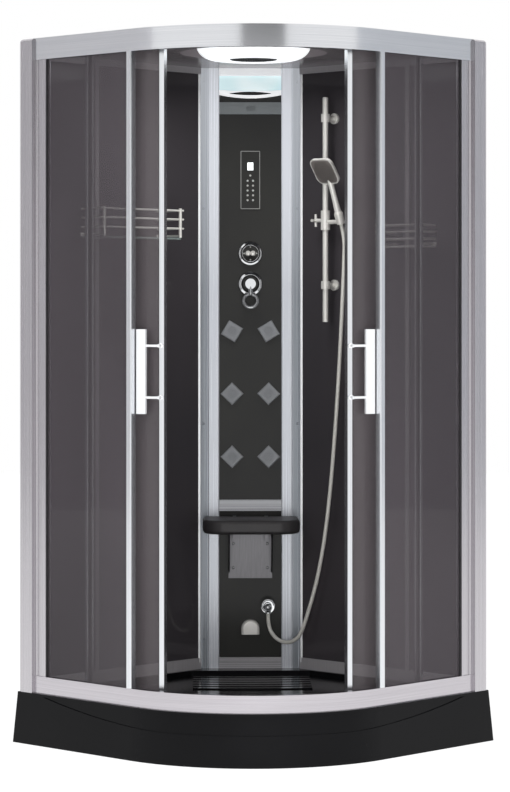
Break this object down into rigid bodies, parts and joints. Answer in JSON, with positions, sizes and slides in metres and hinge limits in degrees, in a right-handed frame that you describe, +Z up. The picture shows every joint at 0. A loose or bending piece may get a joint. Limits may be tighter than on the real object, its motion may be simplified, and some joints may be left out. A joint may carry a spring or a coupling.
{
  "type": "steam shower cabin",
  "caption": "Quadrant steam shower cabin with sliding curved smoked glass doors, black walls, low tray, rear column with controls, jets, fold-up seat and hand shower.",
  "frame": {"origin": "middle of the footprint at floor level", "axes": "+Z up, the doors face -Y, +X to the right as seen from the front"},
  "size_m": [1.4708, 1.1988, 2.145],
  "materials": {
    "acrylic_black": "gloss black sanitary acrylic",
    "steel_frame": "galvanised tube",
    "rubber_foot": "moulded rubber",
    "chrome": "polished chrome plate",
    "pipe_plastic": "white polypropylene",
    "aluminium": "bright anodised extrusion",
    "aluminium_grey": "satin anodised extrusion",
    "door_glass": "smoked toughened glass",
    "wall_glass": "black back-painted toughened glass",
    "white_acrylic": "white acrylic",
    "lamp": "pale blue diffuser",
    "black_panel": "black fascia",
    "grey_plastic": "grey moulded plastic",
    "seat_black": "black moulded seat",
    "clear_glass": "clear toughened glass",
    "hose_grey": "light grey reinforced hose",
    "stainless": "stainless steel sheet"
  },
  "bodies": {
    "cabin": {"tray": "acrylic_black", "tray_frame": "steel_frame", "tray_feet": "rubber_foot", "drain_cover": "chrome", "drain_trap": "pipe_plastic", "bottom_rail": "aluminium", "top_rail": "aluminium", "left_wall_post": "aluminium", "right_wall_post": "aluminium", "jambs": "aluminium", "fixed_glass": "door_glass", "fixed_stiles": "aluminium", "wall_glass": "wall_glass", "wall_trims": "aluminium_grey", "roof": "white_acrylic", "ceiling_lamp": "white_acrylic", "rain_head": "grey_plastic", "column_profiles": "aluminium", "column_bars": "aluminium", "column_panel": "black_panel", "vent_bar": "grey_plastic", "column_lamp": "lamp", "column_visor": "white_acrylic", "control_panel": "black_panel", "valve_plates": "chrome", "jet_bases": "grey_plastic", "seat_bracket": "stainless", "steam_outlet": "chrome", "hose_elbow": "chrome", "riser_rail": "chrome", "riser_brackets": "chrome", "shower_hose": "hose_grey", "shelf_glass": "clear_glass", "shelf_rails": "chrome", "steam_generator": "stainless"},
    "left_door": {"left_door_glass": "door_glass", "left_door_stiles": "aluminium", "left_door_handle": "chrome", "left_door_hangers": "stainless"},
    "left_front_wheels": {"left_roller_front": "pipe_plastic"},
    "left_rear_wheels": {"left_roller_rear": "pipe_plastic"},
    "left_jet_1": {"jet_left_1": "grey_plastic"},
    "left_jet_2": {"jet_left_2": "grey_plastic"},
    "left_jet_3": {"jet_left_3": "grey_plastic"},
    "right_door": {"right_door_glass": "door_glass", "right_door_stiles": "aluminium", "right_door_handle": "chrome", "right_door_hangers": "stainless"},
    "right_front_wheels": {"right_roller_front": "pipe_plastic"},
    "right_rear_wheels": {"right_roller_rear": "pipe_plastic"},
    "right_jet_1": {"jet_right_1": "grey_plastic"},
    "right_jet_2": {"jet_right_2": "grey_plastic"},
    "right_jet_3": {"jet_right_3": "grey_plastic"},
    "fold_seat": {"seat": "seat_black"},
    "riser_slider": {"slider": "chrome"},
    "hand_shower": {"handset_holder": "chrome", "handset": "grey_plastic"},
    "diverter": {"diverter_knob": "chrome"},
    "mixer": {"mixer_hub": "chrome"},
    "lever": {"mixer_lever": "chrome"}
  },
  "joints": [
    {"name": "left_door_slide", "type": "hinge", "parent": "cabin", "child": "left_door", "pos_m": [0.1247, 0.15579, 0], "axis": [0, 0, 1], "range_deg": [0, 23.74]},
    {"name": "left_front_wheel_spin", "type": "hinge", "parent": "left_door", "child": "left_front_wheels", "pos_m": [-0.32697, -0.38698, 2.1113], "axis": [-0.5408, -0.8411, 0], "continuous": true},
    {"name": "left_rear_wheel_spin", "type": "hinge", "parent": "left_door", "child": "left_rear_wheels", "pos_m": [-0.47962, -0.2219, 2.1113], "axis": [-0.8808, -0.4735, 0], "continuous": true},
    {"name": "left_jet_1_turn", "type": "hinge", "parent": "cabin", "child": "left_jet_1", "pos_m": [-0.0595, 0.4597, 1.25], "axis": [0, -1, 0], "continuous": true},
    {"name": "left_jet_2_turn", "type": "hinge", "parent": "cabin", "child": "left_jet_2", "pos_m": [-0.0595, 0.4597, 1.047], "axis": [0, -1, 0], "continuous": true},
    {"name": "left_jet_3_turn", "type": "hinge", "parent": "cabin", "child": "left_jet_3", "pos_m": [-0.0595, 0.4597, 0.842], "axis": [0, -1, 0], "continuous": true},
    {"name": "right_door_slide", "type": "hinge", "parent": "cabin", "child": "right_door", "pos_m": [-0.1247, 0.15579, 0], "axis": [0, 0, 1], "range_deg": [-23.74, 0]},
    {"name": "right_front_wheel_spin", "type": "hinge", "parent": "right_door", "child": "right_front_wheels", "pos_m": [0.32697, -0.38698, 2.1113], "axis": [0.5408, -0.8411, 0], "continuous": true},
    {"name": "right_rear_wheel_spin", "type": "hinge", "parent": "right_door", "child": "right_rear_wheels", "pos_m": [0.47962, -0.2219, 2.1113], "axis": [0.8808, -0.4735, 0], "continuous": true},
    {"name": "right_jet_1_turn", "type": "hinge", "parent": "cabin", "child": "right_jet_1", "pos_m": [0.0595, 0.4597, 1.25], "axis": [0, -1, 0], "continuous": true},
    {"name": "right_jet_2_turn", "type": "hinge", "parent": "cabin", "child": "right_jet_2", "pos_m": [0.0595, 0.4597, 1.047], "axis": [0, -1, 0], "continuous": true},
    {"name": "right_jet_3_turn", "type": "hinge", "parent": "cabin", "child": "right_jet_3", "pos_m": [0.0595, 0.4597, 0.842], "axis": [0, -1, 0], "continuous": true},
    {"name": "seat_fold", "type": "hinge", "parent": "cabin", "child": "fold_seat", "pos_m": [0, 0.4177, 0.642], "axis": [-1, 0, 0], "range_deg": [0, 88]},
    {"name": "riser_slide", "type": "slide", "parent": "cabin", "child": "riser_slider", "axis": [0, 0, 1], "range_m": [-0.15, 0.26], "deforming": ["shower_hose"]},
    {"name": "holder_tilt", "type": "hinge", "parent": "riser_slider", "child": "hand_shower", "pos_m": [0.28355, 0.25929, 1.6], "axis": [0.7071, -0.7071, 0], "range_deg": [-18, 20]},
    {"name": "diverter_turn", "type": "hinge", "parent": "cabin", "child": "diverter", "pos_m": [0, 0.4564, 1.503], "axis": [0, -1, 0], "range_deg": [-90, 90]},
    {"name": "mixer_turn", "type": "hinge", "parent": "cabin", "child": "mixer", "pos_m": [0, 0.4564, 1.404], "axis": [0, -1, 0], "range_deg": [-45, 45]},
    {"name": "mixer_lift", "type": "hinge", "parent": "mixer", "child": "lever", "pos_m": [0, 0.4354, 1.404], "axis": [-1, 0, 0], "range_deg": [0, 22]}
  ],
  "couplings": [
    {"joint": "left_front_wheel_spin", "follows": "left_door_slide", "ratio": -64.192},
    {"joint": "left_rear_wheel_spin", "follows": "left_door_slide", "ratio": -64.785},
    {"joint": "right_front_wheel_spin", "follows": "right_door_slide", "ratio": -64.192},
    {"joint": "right_rear_wheel_spin", "follows": "right_door_slide", "ratio": -64.785}
  ]
}
